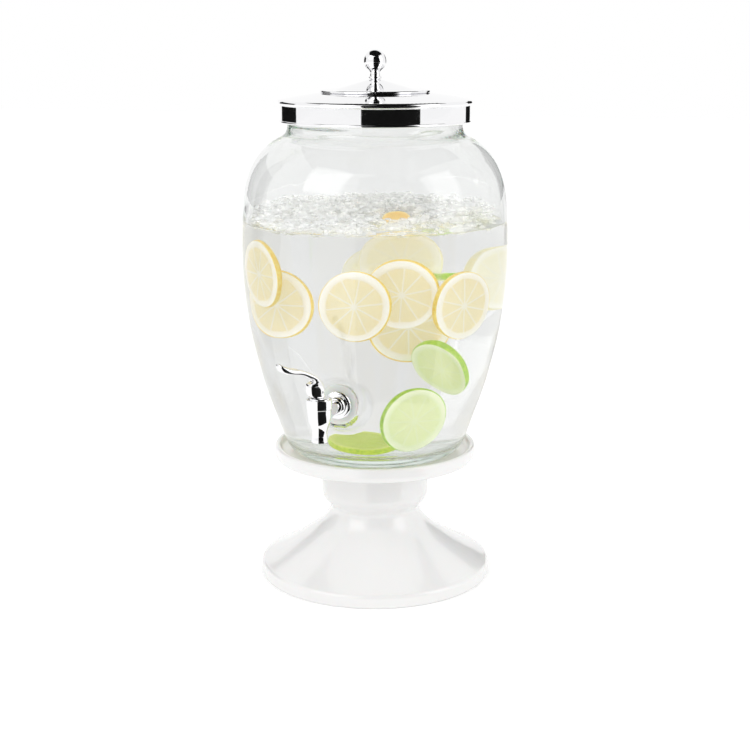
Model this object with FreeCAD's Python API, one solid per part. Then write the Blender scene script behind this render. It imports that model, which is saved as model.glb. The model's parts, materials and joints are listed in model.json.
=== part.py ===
import FreeCAD, Part
import math
import os

# Glass beverage dispenser on a ceramic pedestal, with a lever tap and a stepped chrome lid.
# Millimetres, +Z up.  The origin is the centre of the pedestal's foot, on the surface it
# stands on.  The tap points towards -Y and its lever is swivelled towards -X.

# ---- pedestal ---------------------------------------------------------------------------
FOOT_R = 100.4              # outside of the foot band
FOOT_RECESS_R = 94.0        # inside of the foot ring
FOOT_RING_H = 4.0           # straight height of the foot ring's inner wall
STAND_NECK_R = 46.6
STAND_WAIST_R = 38.9
STAND_WALL = 6.0
PLATE_R = 87.6
PLATE_FLOOR_Z = 111.0       # the jar stands here
PLATE_RIM_Z = 116.4

# ---- jar --------------------------------------------------------------------------------
JAR_BELLY_R = 112.5
JAR_NECK_R = 73.5
JAR_MOUTH_R = 68.5
JAR_FLOOR_Z = 121.0         # top of the thick glass base
JAR_RIM_Z = 408.0
JAR_BEAD_R = 77.6           # rolled bead that centres the lid

# ---- tap: axes --------------------------------------------------------------------------
TAP_Z = 174.5               # height of the shank's axis
BARREL_Y = -147.0           # the barrel's vertical axis
LEVER_SWIVEL = -43.0        # degrees about +Z, from straight ahead towards -X
SEAT_OUT_Y = -100.0         # flat ground on the glass, outside
SEAT_IN_Y = -92.5           # flat ground on the glass, inside
SEAT_R = 19.0
POCKET_R = 15.6             # flat ground round the hole, inside
PAD_DEPTH = 13.0
PAD_FLARE = 0.5             # the pad's flank widens by this much per unit of depth

# ---- tap: pieces ------------------------------------------------------------------------
HOLE_R = 8.5
SHANK_R = 7.9
SHANK_BORE_R = 3.2
SHANK_END_Y = -78.0
SOFT_GASKET_T = 2.5
OUTER_GASKET_R = 16.6
FLANGE_R = 11.8
FLANGE_T = 3.2
COLLAR_R = 7.8
NUT_FLATS = 24.0
NUT_T = 6.5
METAL_WASHER_T = 1.5
SLIP = 0.05                 # radial clearance of a sliding fit

NOZZLE_TIP_Z = 156.0
OUTLET_R = 3.9
OUTLET_TOP_Z = 170.5        # top of the straight outlet bore
VALVE_SEAT_R = 4.5          # inner edge of the flat seat
VALVE_SEAT_Z = 171.3
CHAMBER_R = 6.5
BODY_TOP_Z = 187.0
BODY_SHOULDER_Z = 182.5
BODY_NECK_R = 8.4
BONNET_R = 10.1
BONNET_TOP_Z = 190.6
BONNET_PLATE_T = 2.6
GUIDE_HUB_R = 4.0
GUIDE_FLANGE_R = 8.6
GUIDE_FLANGE_T = 1.0
STEM_R = 2.5
STEM_FLAT = 2.1             # half width across the stem's two flats
PIN_R = 1.0
PIN_ABOVE_GUIDE = 5.0       # lever pin above the guide's top face
CAM_REACH = 5.73            # millimetres of lift per radian of lever travel
CAM_TRAVEL = math.radians(30.0)
CAM_GAP = 0.03
LEVER_W = 11.0
LEVER_EDGE_R = 0.5
HUB_FRONT = 10.4
HUB_REAR = -3.5
HUB_TOP_Z = 203.3

# ---- lid --------------------------------------------------------------------------------
LID_SKIRT_R = 79.5
LID_SKIRT_Z = 393.0
LID_BEAD_R = 81.2
LID_BEAD_Z = 411.8
LID_SHEET = 0.9
TIER_R = 46.0
TIER_Z = 419.6
CONE_R = 32.5
CONE_TOP_Z = 427.9
CONE_FLAT_R = 4.8
SCREW_R = 2.0
KNOB_BALL_R = 9.4
KNOB_BALL_Z = 442.9
KNOB_BALL_DROP = 5.4        # the ball's centre above its lower edge

# ---- derived ----------------------------------------------------------------------------
GUIDE_TOP_Z = BONNET_TOP_Z + GUIDE_FLANGE_T
PIN_Z = GUIDE_TOP_Z + PIN_ABOVE_GUIDE
FLANGE_BACK_Y = SEAT_OUT_Y - SOFT_GASKET_T
FLANGE_FACE_Y = FLANGE_BACK_Y - FLANGE_T
WASHER_Y = SEAT_IN_Y + SOFT_GASKET_T
NUT_Y = WASHER_Y + METAL_WASHER_T
BONNET_UNDER_Z = BONNET_TOP_Z - BONNET_PLATE_T
STEM_COLLAR_Z = VALVE_SEAT_Z + 6.0
STEM_COLLAR_T = 1.2

LINE, ARC, CURVE = "line", "arc", "curve"
UP = FreeCAD.Vector(0, 0, 1)
ALONG_Y = FreeCAD.Vector(0, 1, 0)


# ---- helpers ----------------------------------------------------------------------------
def point_xz(pair):
    return FreeCAD.Vector(pair[0], 0, pair[1])


def outline(start, *steps):
    """Closed wire in the XZ plane: straight runs, three-point arcs and smooth curves."""
    edges = []
    here = start
    for kind, *points in steps:
        if kind == LINE:
            for target in points:
                edges.append(Part.LineSegment(point_xz(here), point_xz(target)).toShape())
                here = target
        elif kind == ARC:
            middle, target = points
            arc = Part.Arc(point_xz(here), point_xz(middle), point_xz(target))
            edges.append(arc.toShape())
            here = target
        else:
            spline = Part.BSplineCurve()
            spline.interpolate([point_xz(here)] + [point_xz(target) for target in points])
            edges.append(spline.toShape())
            here = points[-1]
    if here != start:
        edges.append(Part.LineSegment(point_xz(here), point_xz(start)).toShape())
    return Part.Wire(edges)


def turned(wire):
    """Solid of revolution of an XZ outline about the Z axis."""
    return Part.Face(wire).revolve(FreeCAD.Vector(0, 0, 0), UP, 360)


def disc(radius, z_low, z_high):
    return Part.makeCylinder(radius, z_high - z_low, FreeCAD.Vector(0, 0, z_low), UP)


def rod_y(radius, y_low, y_high):
    """Cylinder on the shank's axis."""
    return Part.makeCylinder(radius, y_high - y_low, FreeCAD.Vector(0, y_low, TAP_Z), ALONG_Y)


def ring_y(outer, inner, y_low, y_high):
    return rod_y(outer, y_low, y_high).cut(rod_y(inner, y_low - 1, y_high + 1))


def on_barrel(shape, swivel=0.0):
    """Move a shape built about the Z axis onto the tap's barrel, swivelled about it."""
    placed = shape.copy()
    placed.rotate(FreeCAD.Vector(0, 0, 0), UP, swivel)
    placed.translate(FreeCAD.Vector(0, BARREL_Y, 0))
    return placed


# ---- pedestal ---------------------------------------------------------------------------
def stand():
    """One-piece ceramic pedestal: rimmed plate, neck, waist and flared hollow foot."""
    neck_inner = STAND_NECK_R - STAND_WALL
    return turned(outline(
        (0, PLATE_FLOOR_Z),
        (LINE, (79.0, PLATE_FLOOR_Z)),
        (CURVE, (81.3, 112.2), (82.6, 114.6)),
        (ARC, (84.7, PLATE_RIM_Z), (86.9, 115.0)),
        (CURVE, (PLATE_R, 111.5), (PLATE_R, 108.5), (86.9, 106.0)),
        (ARC, (86.1, 104.9), (84.9, 104.4)),
        (LINE, (50.6, 103.6)),
        (ARC, (47.8, 102.4), (STAND_NECK_R, 99.6)),
        (LINE, (STAND_NECK_R, 76.0)),
        (CURVE, (45.9, 70.2), (43.8, 66.0), (40.8, 62.6), (39.1, 60.0), (STAND_WAIST_R, 57.8),
         (40.0, 54.9), (45.6, 46.6), (51.8, 40.6), (60.0, 34.4), (76.0, 23.7), (90.0, 15.8),
         (97.5, 11.8)),
        (ARC, (99.5, 10.5), (FOOT_R, 8.4)),
        (LINE, (FOOT_R, 1.0)),
        (ARC, (100.1, 0.3), (99.4, 0)),
        (LINE, (FOOT_RECESS_R, 0), (FOOT_RECESS_R, FOOT_RING_H)),
        (CURVE, (92.0, 7.0), (84.0, 11.4), (70.0, 19.6), (54.0, 30.2), (43.0, 40.0),
         (35.6, 49.6), (32.9, 55.6), (33.2, 60.4), (37.4, 65.4), (40.0, 70.6),
         (neck_inner, 78.0)),
        (LINE, (neck_inner, 95.0)),
        (ARC, (38.2, 100.6), (33.0, 102.6)),
        (LINE, (0, 102.6)),
    ))


# ---- jar --------------------------------------------------------------------------------
JAR_INSIDE = (
    (LINE, (JAR_MOUTH_R, 391.0)),
    (CURVE, (69.2, 386.4), (71.4, 382.8), (75.6, 379.6), (81.0, 376.0), (88.2, 369.8),
     (95.2, 361.7), (101.3, 350.2), (105.3, 334.8), (107.5, 310.0), (108.1, 285.0),
     (106.6, 254.0), (104.3, 233.0), (100.9, 212.0), (95.9, 190.7), (90.0, 169.3),
     (82.4, 146.5), (75.6, 129.6)),
    (CURVE, (71.6, 124.6), (65.6, 121.8), (58.0, JAR_FLOOR_Z)),
    (LINE, (0, JAR_FLOOR_Z)),
)


def jar_wall():
    """Blown jar: heavy base, bellied wall, stepped shoulder, neck and rolled rim."""
    return turned(outline(
        (0, PLATE_FLOOR_Z + 1.2),
        (LINE, (52.0, PLATE_FLOOR_Z + 1.2)),
        (ARC, (54.6, PLATE_FLOOR_Z + 0.33), (57.4, PLATE_FLOOR_Z)),
        (LINE, (63.0, PLATE_FLOOR_Z), (65.5, PLATE_FLOOR_Z + 0.35)),
        (CURVE, (68.6, 112.0), (73.4, 115.0), (76.9, 119.6), (79.6, 126.0), (87.2, 147.7),
         (94.6, 169.3), (100.4, 190.7), (105.4, 212.0), (108.8, 233.0), (111.1, 254.0),
         (JAR_BELLY_R, 285.0), (111.9, 310.0), (109.7, 336.0), (105.6, 352.0), (99.0, 364.5),
         (91.5, 373.0), (84.0, 378.6), (78.4, 381.6), (75.0, 384.4), (JAR_NECK_R, 388.5)),
        (LINE, (JAR_NECK_R, 397.4)),
        (CURVE, (74.6, 399.2), (76.7, 400.4), (JAR_BEAD_R, 402.4)),
        (LINE, (JAR_BEAD_R, 403.8)),
        (ARC, (76.2, 406.9), (72.8, JAR_RIM_Z)),
        (ARC, (69.7, 406.7), (JAR_MOUTH_R, 403.6)),
        *JAR_INSIDE,
    ))


def jar_inside():
    """The space inside the wall, up to the neck."""
    return turned(outline((0, 403.6), (LINE, (JAR_MOUTH_R, 403.6)), *JAR_INSIDE))


def jar():
    """The wall with a coned pad set upright on it, flat inside and out, drilled for the tap."""
    proud = 1.0
    pad = Part.makeCone(SEAT_R + PAD_DEPTH * PAD_FLARE, SEAT_R - proud * PAD_FLARE,
                        PAD_DEPTH + proud, FreeCAD.Vector(0, SEAT_OUT_Y + PAD_DEPTH, TAP_Z),
                        FreeCAD.Vector(0, -1, 0))
    floor = rod_y(SEAT_R - 1, SEAT_OUT_Y + 1, SEAT_IN_Y)
    glass = jar_wall().fuse(pad.cut(jar_inside())).fuse(floor)
    glass = glass.cut(rod_y(SEAT_R + 4, SEAT_OUT_Y - 30, SEAT_OUT_Y))
    glass = glass.cut(rod_y(POCKET_R, SEAT_IN_Y, SEAT_IN_Y + 30))
    return glass.cut(rod_y(HOLE_R, SEAT_OUT_Y - 5, SEAT_IN_Y + 5)).removeSplitter()


# ---- lid --------------------------------------------------------------------------------
def lid_shell():
    """Spun sheet lid: cone on a raised tier, sloping brim, bead and deep skirt with a hem."""
    inner_r = LID_SKIRT_R - LID_SHEET
    return turned(outline(
        (SCREW_R + SLIP, CONE_TOP_Z),
        (LINE, (CONE_FLAT_R, CONE_TOP_Z), (CONE_R, 419.95)),
        (CURVE, (CONE_R + 2.0, TIER_Z + 0.05), (CONE_R + 4.5, TIER_Z)),
        (LINE, (TIER_R - 0.8, TIER_Z)),
        (ARC, (TIER_R, TIER_Z - 0.9), (TIER_R - 0.5, TIER_Z - 2.0)),
        (LINE, (TIER_R - 1.6, TIER_Z - 2.1)),
        (CURVE, (62.0, 414.8), (79.0, LID_BEAD_Z)),
        (ARC, (LID_BEAD_R, 409.7), (LID_SKIRT_R + 0.5, 407.6)),
        (LINE, (LID_SKIRT_R, 407.2), (LID_SKIRT_R, 395.2)),
        (ARC, (LID_SKIRT_R + 0.5, 394.2), (LID_SKIRT_R, LID_SKIRT_Z)),
        (LINE, (inner_r - 0.4, LID_SKIRT_Z), (inner_r - 0.4, 394.6), (inner_r, 395.2),
         (inner_r, 407.4)),
        (ARC, (79.6, 409.4), (78.2, 410.9)),
        (CURVE, (62.0, 413.9), (43.6, 416.5)),
        (LINE, (43.6, 418.7), (CONE_R + 4.0, 418.7)),
        (CURVE, (CONE_R + 1.6, 418.8), (CONE_R - 0.3, 419.1)),
        (LINE, (CONE_FLAT_R, CONE_TOP_Z - LID_SHEET), (SCREW_R + SLIP, CONE_TOP_Z - LID_SHEET)),
    ))


def lid_seal():
    """Soft ring in the lid's corner, resting on the jar's rim under the sloping brim."""
    return turned(outline(
        (70.2, 408.05),
        (LINE, (77.9, 408.05), (77.9, 410.9), (70.2, 412.4)),
    ))


def lid_knob():
    """Turned finial: foot, bead, waist and ball, tapped from below."""
    ball_start = (math.sqrt(KNOB_BALL_R ** 2 - KNOB_BALL_DROP ** 2), KNOB_BALL_Z - KNOB_BALL_DROP)
    shell = turned(outline(
        (0, CONE_TOP_Z),
        (LINE, (3.9, CONE_TOP_Z)),
        (ARC, (3.6, 428.3), (4.1, 428.7)),
        (ARC, (5.3, 429.6), (4.2, 430.6)),
        (CURVE, (4.0, 432.0), (4.3, 434.0), (5.6, 435.6), ball_start),
        (ARC, (KNOB_BALL_R, KNOB_BALL_Z), (0, KNOB_BALL_Z + KNOB_BALL_R)),
    ))
    return shell.cut(disc(SCREW_R, CONE_TOP_Z - 1, CONE_TOP_Z + 9.0))


def lid_knob_screw():
    """Pan-head screw up through the lid into the knob."""
    seat_z = CONE_TOP_Z - LID_SHEET - 1.0
    head = turned(outline(
        (0, seat_z),
        (LINE, (3.8, seat_z), (3.8, seat_z - 1.2)),
        (ARC, (3.3, seat_z - 2.1), (2.0, seat_z - 2.5)),
        (LINE, (0, seat_z - 2.5)),
    ))
    slot = Part.makeBox(9, 1.0, 1.2, FreeCAD.Vector(-4.5, -0.5, seat_z - 2.7))
    return head.fuse(disc(SCREW_R, seat_z, CONE_TOP_Z + 8.0)).cut(slot).removeSplitter()


def lid_knob_washer():
    top = CONE_TOP_Z - LID_SHEET
    return disc(4.6, top - 1.0, top).cut(disc(SCREW_R + SLIP, top - 2, top + 1))


# ---- tap body ---------------------------------------------------------------------------
def barrel_shell():
    """Outside of the tap's barrel and nozzle, about the Z axis."""
    return turned(outline(
        (0, NOZZLE_TIP_Z),
        (LINE, (6.4, NOZZLE_TIP_Z)),
        (CURVE, (6.2, 158.6), (5.8, 162.0), (6.1, 164.9), (7.0, 168.2), (8.2, 171.4),
         (9.0, 175.0), (9.35, 179.0)),
        (LINE, (9.4, BODY_SHOULDER_Z), (BODY_NECK_R, BODY_SHOULDER_Z),
         (BODY_NECK_R, BODY_TOP_Z), (0, BODY_TOP_Z)),
    ))


def barrel_cavity():
    """Valve chamber, the flat seat with its chamfer, and the straight outlet below."""
    return turned(outline(
        (0, NOZZLE_TIP_Z - 1),
        (LINE, (OUTLET_R, NOZZLE_TIP_Z - 1), (OUTLET_R, OUTLET_TOP_Z),
         (VALVE_SEAT_R, VALVE_SEAT_Z), (CHAMBER_R, VALVE_SEAT_Z), (CHAMBER_R, BODY_TOP_Z + 1),
         (0, BODY_TOP_Z + 1)),
    ))


def shank_profile():
    """Shank about its own axis: X is the radius and Z is the distance out from the jar."""
    out = -FLANGE_BACK_Y
    face = -FLANGE_FACE_Y
    return turned(outline(
        (0, -SHANK_END_Y),
        (LINE, (SHANK_R - 0.8, -SHANK_END_Y), (SHANK_R, -SHANK_END_Y + 0.8), (SHANK_R, out),
         (FLANGE_R, out), (FLANGE_R, out + 1.0)),
        (ARC, (FLANGE_R - 0.9, face - 0.5), (FLANGE_R - 3.0, face)),
        (LINE, (COLLAR_R, face)),
        (ARC, (COLLAR_R - 0.6, face + 2.2), (COLLAR_R - 2.0, face + 3.4)),
        (CURVE, (5.3, face + 9.0), (5.1, face + 16.0), (5.3, face + 26.0), (5.6, face + 33.0)),
        (LINE, (5.6, -BARREL_Y), (0, -BARREL_Y)),
    ))


def spigot_body():
    """Barrel, nozzle, shank and flange cast in one piece, with the water way through it."""
    shank = shank_profile()
    shank.rotate(FreeCAD.Vector(0, 0, 0), UP, -90)
    shank.rotate(FreeCAD.Vector(0, 0, 0), FreeCAD.Vector(1, 0, 0), 90)
    shank.translate(FreeCAD.Vector(0, 0, TAP_Z))
    body = on_barrel(barrel_shell(), 90).fuse(shank)
    body = body.cut(on_barrel(barrel_cavity(), 90))
    return body.cut(rod_y(SHANK_BORE_R, BARREL_Y, SHANK_END_Y + 1)).removeSplitter()


def spigot_bonnet():
    """Screw cap over the barrel, with the hole that the stem guide turns in."""
    return on_barrel(turned(outline(
        (GUIDE_HUB_R + SLIP, BONNET_TOP_Z),
        (LINE, (BONNET_R - 0.7, BONNET_TOP_Z)),
        (ARC, (BONNET_R - 0.2, BONNET_TOP_Z - 0.2), (BONNET_R, BONNET_TOP_Z - 0.7)),
        (LINE, (BONNET_R, BODY_SHOULDER_Z + 0.5), (BONNET_R - 0.3, BODY_SHOULDER_Z + 0.1),
         (BODY_NECK_R + SLIP, BODY_SHOULDER_Z + 0.1), (BODY_NECK_R + SLIP, BONNET_UNDER_Z),
         (GUIDE_HUB_R + SLIP, BONNET_UNDER_Z)),
    )))


def bonnet_gasket():
    """Flat ring between the barrel's top edge and the bonnet."""
    ring = disc(BODY_NECK_R - 0.1, BODY_TOP_Z, BONNET_UNDER_Z)
    return on_barrel(ring.cut(disc(CHAMBER_R, BODY_TOP_Z - 1, BONNET_UNDER_Z + 1)))


# ---- tap valve --------------------------------------------------------------------------
def flatted(radius, half_flat, z_low, z_high):
    """Round bar with two flats that face sideways to the lever."""
    box = Part.makeBox(2 * half_flat, 4 * radius, z_high - z_low,
                       FreeCAD.Vector(-half_flat, -2 * radius, z_low))
    return disc(radius, z_low, z_high).common(box)


def stem_guide():
    """Flanged bush in the bonnet: it turns with the stem, and the lever's cam bears on it."""
    bush = disc(GUIDE_HUB_R, GUIDE_TOP_Z - 7.4, GUIDE_TOP_Z - 0.5)
    flange = turned(outline(
        (0, BONNET_TOP_Z),
        (LINE, (GUIDE_FLANGE_R, BONNET_TOP_Z), (GUIDE_FLANGE_R, GUIDE_TOP_Z - 0.3),
         (GUIDE_FLANGE_R - 0.3, GUIDE_TOP_Z), (0, GUIDE_TOP_Z)),
    ))
    key_z = GUIDE_TOP_Z - 2.0
    round_hole = disc(STEM_R + SLIP, GUIDE_TOP_Z - 9, key_z)
    key_hole = flatted(STEM_R + SLIP, STEM_FLAT + SLIP, key_z - 1, GUIDE_TOP_Z + 1)
    return on_barrel(bush.fuse(flange).cut(round_hole).cut(key_hole).removeSplitter(), LEVER_SWIVEL)


def stem():
    """Stem with a lower collar for the spring, a ring groove, and a flatted eye for the pin."""
    spigot_r = 1.8
    groove_z = GUIDE_TOP_Z - 6.4
    collar = disc(5.3, STEM_COLLAR_Z, STEM_COLLAR_Z + STEM_COLLAR_T)
    lower = disc(spigot_r, VALVE_SEAT_Z + 2.4, STEM_COLLAR_Z)
    shaft = disc(STEM_R, STEM_COLLAR_Z, GUIDE_TOP_Z - 5.1)
    groove = disc(STEM_R + 1, groove_z, groove_z + 1.1).cut(disc(1.5, groove_z - 1, groove_z + 2))
    blade = flatted(STEM_R, STEM_FLAT, GUIDE_TOP_Z - 5.1, PIN_Z)
    eye = Part.makeCylinder(STEM_R, 2 * STEM_FLAT, FreeCAD.Vector(-STEM_FLAT, 0, PIN_Z),
                            FreeCAD.Vector(1, 0, 0))
    hole = Part.makeCylinder(PIN_R + SLIP, 8, FreeCAD.Vector(-4, 0, PIN_Z),
                             FreeCAD.Vector(1, 0, 0))
    whole = collar.fuse([lower, shaft, blade, eye]).cut(groove).cut(hole)
    return on_barrel(whole.removeSplitter(), LEVER_SWIVEL)


def stem_o_ring():
    ring = Part.makeTorus(2.03, 0.5, FreeCAD.Vector(0, 0, GUIDE_TOP_Z - 5.85), UP)
    return on_barrel(ring)


def seat_plug():
    """Soft plug pressed on the stem's lower end, closing the outlet."""
    plug = turned(outline(
        (0, VALVE_SEAT_Z),
        (LINE, (5.0, VALVE_SEAT_Z)),
        (ARC, (5.4, VALVE_SEAT_Z + 1.0), (4.9, VALVE_SEAT_Z + 2.0)),
        (CURVE, (3.9, VALVE_SEAT_Z + 3.4), (4.6, VALVE_SEAT_Z + 5.0)),
        (LINE, (4.9, STEM_COLLAR_Z), (0, STEM_COLLAR_Z)),
    ))
    return on_barrel(plug.cut(disc(1.8, VALVE_SEAT_Z + 2.4, STEM_COLLAR_Z + 1)))


def stem_spring():
    """Compression spring from the stem's collar to the bonnet's underside."""
    wire_r = 0.45
    mean_r = 4.75
    low = STEM_COLLAR_Z + STEM_COLLAR_T + wire_r + 0.05
    height = BONNET_UNDER_Z - wire_r - 0.05 - low
    helix = Part.makeHelix(height / 5.0, height, mean_r)
    start = FreeCAD.Vector(mean_r, 0, 0)
    section = Part.Wire(Part.makeCircle(wire_r, start, FreeCAD.Vector(0, 1, 0)))
    coil = Part.Wire(helix.Edges).makePipeShell([section], True, True)
    coil.translate(FreeCAD.Vector(0, 0, low))
    return on_barrel(coil)


# ---- lever ------------------------------------------------------------------------------
def cam_points():
    """Underside of the cam, reach against height: its foot drops in step with the lever."""
    points = []
    steps = 5
    for index in range(steps + 1):
        angle = CAM_TRAVEL * index / steps
        drop = PIN_ABOVE_GUIDE - CAM_GAP + CAM_REACH * angle
        reach = drop * math.sin(angle) + CAM_REACH * math.cos(angle)
        height = PIN_Z - drop * math.cos(angle) + CAM_REACH * math.sin(angle)
        points.append((reach, height))
    return points


def lever_side():
    """Side profile of the lever: cam block, swept neck and up-turned thumb end."""
    cam = cam_points()
    return outline(
        (HUB_REAR, GUIDE_TOP_Z + CAM_GAP),
        (LINE, cam[0]),
        (CURVE, *cam[1:]),
        (CURVE, (10.0, 195.7), (HUB_FRONT, 199.2)),
        (LINE, (HUB_FRONT, HUB_TOP_Z - 0.8)),
        (ARC, (HUB_FRONT - 0.2, HUB_TOP_Z - 0.2), (HUB_FRONT - 0.8, HUB_TOP_Z)),
        (LINE, (6.4, HUB_TOP_Z)),
        (ARC, (5.3, 204.0), (5.6, 205.3)),
        (CURVE, (8.3, 207.7), (12.6, 209.9), (19.2, 212.3), (26.0, 213.7), (33.0, 215.7),
         (38.4, 219.9)),
        (ARC, (38.8, 221.3), (37.4, 221.9)),
        (CURVE, (31.8, 218.6), (25.4, 216.9), (18.4, 215.6), (11.0, 212.9), (3.6, 208.9),
         (-1.2, 203.8), (HUB_REAR, 197.6)),
    )


def lever_plan():
    """Plan outline that narrows the arm and rounds its thumb end."""
    half = LEVER_W / 2
    half_thumb = 6.3
    edges_right = [(-6.0, half), (12.0, half - 0.6), (24.0, half + 0.2), (32.0, half_thumb)]
    flip = [(u, -w) for u, w in reversed(edges_right)]
    right = Part.BSplineCurve()
    right.interpolate([FreeCAD.Vector(w, -u, 0) for u, w in edges_right])
    left = Part.BSplineCurve()
    left.interpolate([FreeCAD.Vector(w, -u, 0) for u, w in flip])
    tip = Part.Arc(FreeCAD.Vector(half_thumb, -32.0, 0), FreeCAD.Vector(0, -39.0, 0),
                   FreeCAD.Vector(-half_thumb, -32.0, 0))
    back = Part.LineSegment(FreeCAD.Vector(-half, 6.0, 0), FreeCAD.Vector(half, 6.0, 0))
    wire = Part.Wire([right.toShape(), tip.toShape(), left.toShape(), back.toShape()])
    return Part.Face(wire)


def lever():
    """Side profile given its width, trimmed in plan, edges rounded, slotted for the stem's eye."""
    side = Part.Face(lever_side())
    side.rotate(FreeCAD.Vector(0, 0, 0), UP, -90)
    side.translate(FreeCAD.Vector(-10, 0, 0))
    blank = side.extrude(FreeCAD.Vector(20, 0, 0))
    plan = lever_plan()
    plan.translate(FreeCAD.Vector(0, 0, GUIDE_TOP_Z - 5))
    arm = blank.common(plan.extrude(FreeCAD.Vector(0, 0, 45)))
    arm = arm.makeFillet(LEVER_EDGE_R, arm.Edges)
    slot_half = STEM_FLAT + 0.15
    slot = Part.makeBox(2 * slot_half, 8.7, 20,
                        FreeCAD.Vector(-slot_half, -6.0, PIN_Z - 16.9))
    hole = Part.makeCylinder(PIN_R, 16, FreeCAD.Vector(-8, 0, PIN_Z), FreeCAD.Vector(1, 0, 0))
    return on_barrel(arm.cut(slot).cut(hole).removeSplitter(), LEVER_SWIVEL)


def lever_pin():
    half = LEVER_W / 2 - 0.3
    pin = Part.makeCylinder(PIN_R, 2 * half, FreeCAD.Vector(-half, 0, PIN_Z),
                            FreeCAD.Vector(1, 0, 0))
    return on_barrel(pin, LEVER_SWIVEL)


# ---- tap fastening ----------------------------------------------------------------------
def outer_gasket():
    ring = ring_y(OUTER_GASKET_R, SHANK_R + SLIP, FLANGE_BACK_Y, SEAT_OUT_Y)
    outer_edges = [edge for edge in ring.Edges
                   if abs(edge.Length - 2 * math.pi * OUTER_GASKET_R) < 0.01]
    return ring.makeFillet(0.8, outer_edges)


def inner_gasket():
    return ring_y(14.5, SHANK_R + SLIP, SEAT_IN_Y, WASHER_Y)


def shank_washer():
    return ring_y(13.5, SHANK_R + SLIP, WASHER_Y, NUT_Y)


def shank_nut():
    """Hexagon nut on the shank, inside the jar."""
    corner_r = NUT_FLATS / math.sqrt(3)
    corners = []
    for index in range(7):
        angle = math.radians(60 * index)
        corners.append(FreeCAD.Vector(corner_r * math.cos(angle), NUT_Y,
                                      TAP_Z + corner_r * math.sin(angle)))
    prism = Part.Face(Part.makePolygon(corners)).extrude(FreeCAD.Vector(0, NUT_T, 0))
    chamfer = Part.makeCone(corner_r + 1.2, corner_r - 0.8, NUT_T,
                            FreeCAD.Vector(0, NUT_Y, TAP_Z), ALONG_Y)
    return prism.common(chamfer).cut(rod_y(SHANK_R, NUT_Y - 1, NUT_Y + NUT_T + 1))


PIECES = {
    "stand": stand,
    "jar": jar,
    "lid_shell": lid_shell,
    "lid_seal": lid_seal,
    "lid_knob": lid_knob,
    "lid_knob_screw": lid_knob_screw,
    "lid_knob_washer": lid_knob_washer,
    "spigot_body": spigot_body,
    "spigot_bonnet": spigot_bonnet,
    "bonnet_gasket": bonnet_gasket,
    "stem_guide": stem_guide,
    "stem": stem,
    "stem_o_ring": stem_o_ring,
    "seat_plug": seat_plug,
    "stem_spring": stem_spring,
    "lever": lever,
    "lever_pin": lever_pin,
    "outer_gasket": outer_gasket,
    "inner_gasket": inner_gasket,
    "shank_washer": shank_washer,
    "shank_nut": shank_nut,
}


def main():
    os.makedirs("parts", exist_ok=True)
    for name, make in PIECES.items():
        shape = make()
        shape.exportStep("parts/" + name + ".step")
        box = shape.BoundBox
        print("%-16s solids %d valid %s volume %9.1f  x %.1f..%.1f y %.1f..%.1f z %.1f..%.1f" % (
            name, len(shape.Solids), shape.isValid(), shape.Volume,
            box.XMin, box.XMax, box.YMin, box.YMax, box.ZMin, box.ZMax))


main()
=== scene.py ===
"""Beverage dispenser: looks, drink, ice and fruit, studio and camera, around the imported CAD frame."""
import json
import math

import bmesh
import bpy
import numpy as np
from mathutils import Matrix, Vector, noise


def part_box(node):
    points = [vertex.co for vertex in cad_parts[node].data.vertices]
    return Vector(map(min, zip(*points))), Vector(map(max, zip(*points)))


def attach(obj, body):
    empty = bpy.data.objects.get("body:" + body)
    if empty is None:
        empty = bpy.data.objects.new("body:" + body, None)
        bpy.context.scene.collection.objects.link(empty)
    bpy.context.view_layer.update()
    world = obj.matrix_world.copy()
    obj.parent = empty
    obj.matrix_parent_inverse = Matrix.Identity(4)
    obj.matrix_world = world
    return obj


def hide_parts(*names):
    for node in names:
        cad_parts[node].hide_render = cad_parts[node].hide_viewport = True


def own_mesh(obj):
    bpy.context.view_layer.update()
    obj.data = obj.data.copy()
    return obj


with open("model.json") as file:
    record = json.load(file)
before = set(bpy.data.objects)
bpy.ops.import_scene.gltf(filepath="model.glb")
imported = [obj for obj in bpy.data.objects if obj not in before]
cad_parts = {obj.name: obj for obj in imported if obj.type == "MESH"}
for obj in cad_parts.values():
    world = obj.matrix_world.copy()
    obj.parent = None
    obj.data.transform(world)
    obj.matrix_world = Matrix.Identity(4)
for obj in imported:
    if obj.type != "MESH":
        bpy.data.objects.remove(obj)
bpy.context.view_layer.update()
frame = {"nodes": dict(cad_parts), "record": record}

MM = 0.001
NODES = frame["nodes"]
RECORD = frame["record"]
MOUNTS = {mount["name"]: mount for mount in RECORD["mounts"]}
JOINTS = {joint["name"]: joint for joint in RECORD["behaviour"]["joints"]}

# ---- places read from the frame -----------------------------------------------------------
JAR_LOW, JAR_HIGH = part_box("jar")
GASKET_LOW, GASKET_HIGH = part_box("outer_gasket")
TAP_Z = (GASKET_LOW.z + GASKET_HIGH.z) / 2
PAD_Y = GASKET_HIGH.y                        # flat of the glass outside, under the gasket
PAD_INNER_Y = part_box("inner_gasket")[0].y    # flat of the glass inside
BARREL = Vector(MOUNTS["spout_outlet"]["pos_m"])
LEVER_SIDE = Vector(JOINTS["lever_press"]["axis"])         # along the lever's pin
LEVER_AHEAD = Vector((LEVER_SIDE.y, -LEVER_SIDE.x, 0))     # from the barrel to the thumb end
WATER_Z = JAR_LOW.z + 200.0 * MM

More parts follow.
